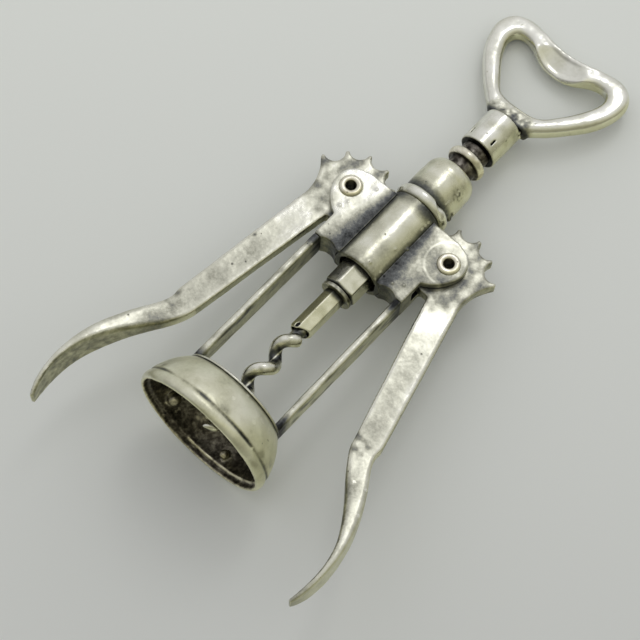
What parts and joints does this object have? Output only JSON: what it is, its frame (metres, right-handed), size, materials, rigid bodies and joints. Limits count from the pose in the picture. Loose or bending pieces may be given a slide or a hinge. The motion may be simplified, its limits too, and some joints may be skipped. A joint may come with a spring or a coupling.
{
  "type": "wing corkscrew",
  "caption": "Wing corkscrew with a bell-shaped neck rest, geared levers on a ringed rack, a coiled worm on a turning spindle, and a stirrup handle with a cap-lifter lip.",
  "frame": {"origin": "centre of the bell's mouth, in the plane of its rim", "axes": "+Y up the spindle from the bell to the handle, +X towards the right lever, +Z towards the front, the face that looks up when it lies on its back"},
  "size_m": [0.1001, 0.1958, 0.0464],
  "materials": {
    "silver": "cast silver, rubbed bright, with dark patina in the recesses",
    "dark_silver": "silver with most of its dark patina left on"
  },
  "bodies": {
    "frame": {"bell": "silver", "roof_plate": "silver", "right_post": "silver", "left_post": "silver", "barrel": "silver", "collar_ring": "silver", "dome_cap": "silver", "right_lug": "silver", "left_lug": "silver", "right_rivet": "silver", "left_rivet": "silver"},
    "rack": {"rack": "dark_silver", "rack_nut": "silver"},
    "screw": {"spindle": "silver", "retaining_washer": "dark_silver", "worm": "silver", "worm_pin": "dark_silver", "ferrule": "silver", "cap_lifter": "silver"},
    "right_lever": {"right_lever": "silver"},
    "left_lever": {"left_lever": "silver"}
  },
  "joints": [
    {"name": "rack_slide", "type": "slide", "parent": "frame", "child": "rack", "axis": [0, 1, 0], "range_m": [-0.023, 0.0014]},
    {"name": "handle_spin", "type": "hinge", "parent": "rack", "child": "screw", "pos_m": [0, 0.0912, 0], "axis": [0, 1, 0], "continuous": true},
    {"name": "right_lever_hinge", "type": "hinge", "parent": "frame", "child": "right_lever", "pos_m": [0.01909, 0.0867, 0], "axis": [0, 0, 1], "range_deg": [-6.3, 101.9]},
    {"name": "left_lever_hinge", "type": "hinge", "parent": "frame", "child": "left_lever", "pos_m": [-0.01909, 0.0867, 0], "axis": [0, 0, 1], "range_deg": [-101.9, 6.3]}
  ],
  "couplings": [
    {"joint": "right_lever_hinge", "follows": "rack_slide", "rad_per_m": -77.293},
    {"joint": "left_lever_hinge", "follows": "rack_slide", "rad_per_m": 77.293}
  ]
}
